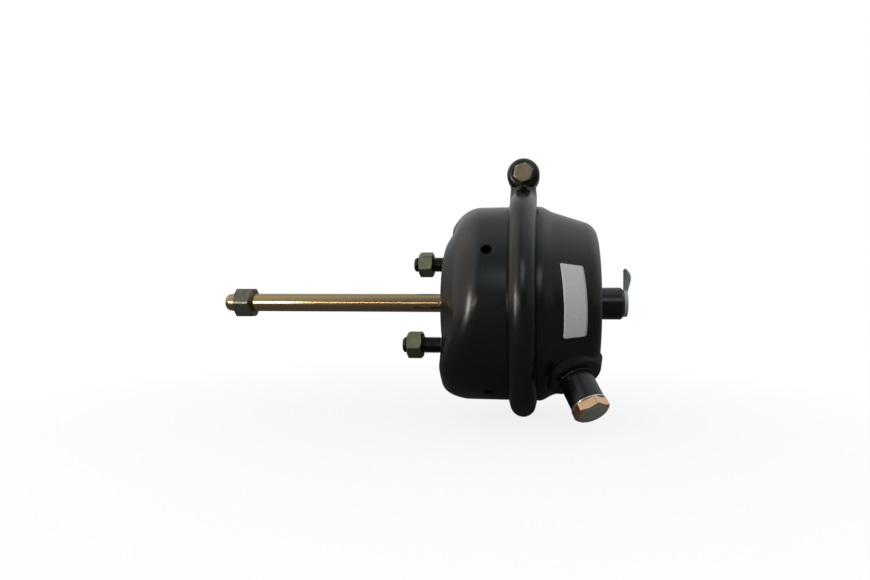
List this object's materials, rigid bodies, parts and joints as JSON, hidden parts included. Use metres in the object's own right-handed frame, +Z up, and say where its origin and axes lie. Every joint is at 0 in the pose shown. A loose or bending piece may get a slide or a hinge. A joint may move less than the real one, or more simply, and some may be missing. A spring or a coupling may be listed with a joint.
{
  "type": "air brake chamber",
  "caption": "Diaphragm air brake chamber: two pressed shells in a clamp ring, with a long push rod, mounting studs, a plugged side port and a capped rear port.",
  "frame": {"origin": "centre of the flat mounting face, on the push rod's axis", "axes": "-X along the push rod out of the front, +X to the rear air port, +Z up to the clamp ring's ears"},
  "size_m": [0.3155, 0.168, 0.1916],
  "materials": {
    "black_paint": "gloss black paint over pressed steel",
    "yellow_zinc": "yellow passivated zinc, satin",
    "dull_zinc": "olive passivated zinc, dull",
    "bare_steel": "plain zinc, satin",
    "spring_steel": "dark spring steel",
    "bright_washer": "bare aluminium",
    "black_rubber": "matte moulded rubber",
    "grey_plastic": "matte grey moulded plastic"
  },
  "bodies": {
    "chamber": {"front_housing": "black_paint", "rear_housing": "black_paint", "clamp_ring": "black_paint", "clamp_bolt": "yellow_zinc", "clamp_washer": "yellow_zinc", "clamp_nut": "yellow_zinc", "diaphragm": "black_rubber", "stud_plate": "bare_steel", "mounting_stud_near": "black_paint", "mounting_stud_far": "black_paint", "stud_nut_near": "dull_zinc", "stud_nut_far": "dull_zinc", "dust_seal": "black_rubber", "spring_seat": "bare_steel", "return_spring": "spring_steel", "rear_port_boss": "black_paint", "side_port_boss": "black_paint", "plug_washer": "bright_washer", "port_plug": "yellow_zinc"},
    "push_rod": {"push_rod": "yellow_zinc", "rod_nut": "yellow_zinc", "push_plate": "yellow_zinc", "rod_collar": "yellow_zinc"},
    "dust_cap": {"rear_dust_cap": "grey_plastic"}
  },
  "joints": [
    {"name": "rod_stroke", "type": "slide", "parent": "chamber", "child": "push_rod", "axis": [-1, 0, 0], "range_m": [0, 0.057], "stiffness_N_per_m": 1200, "springref_m": -0.05, "deforming": ["return_spring", "diaphragm"]},
    {"name": "cap_pull", "type": "slide", "parent": "chamber", "child": "dust_cap", "axis": [1, 0, 0], "range_m": [0, 0.03]}
  ]
}
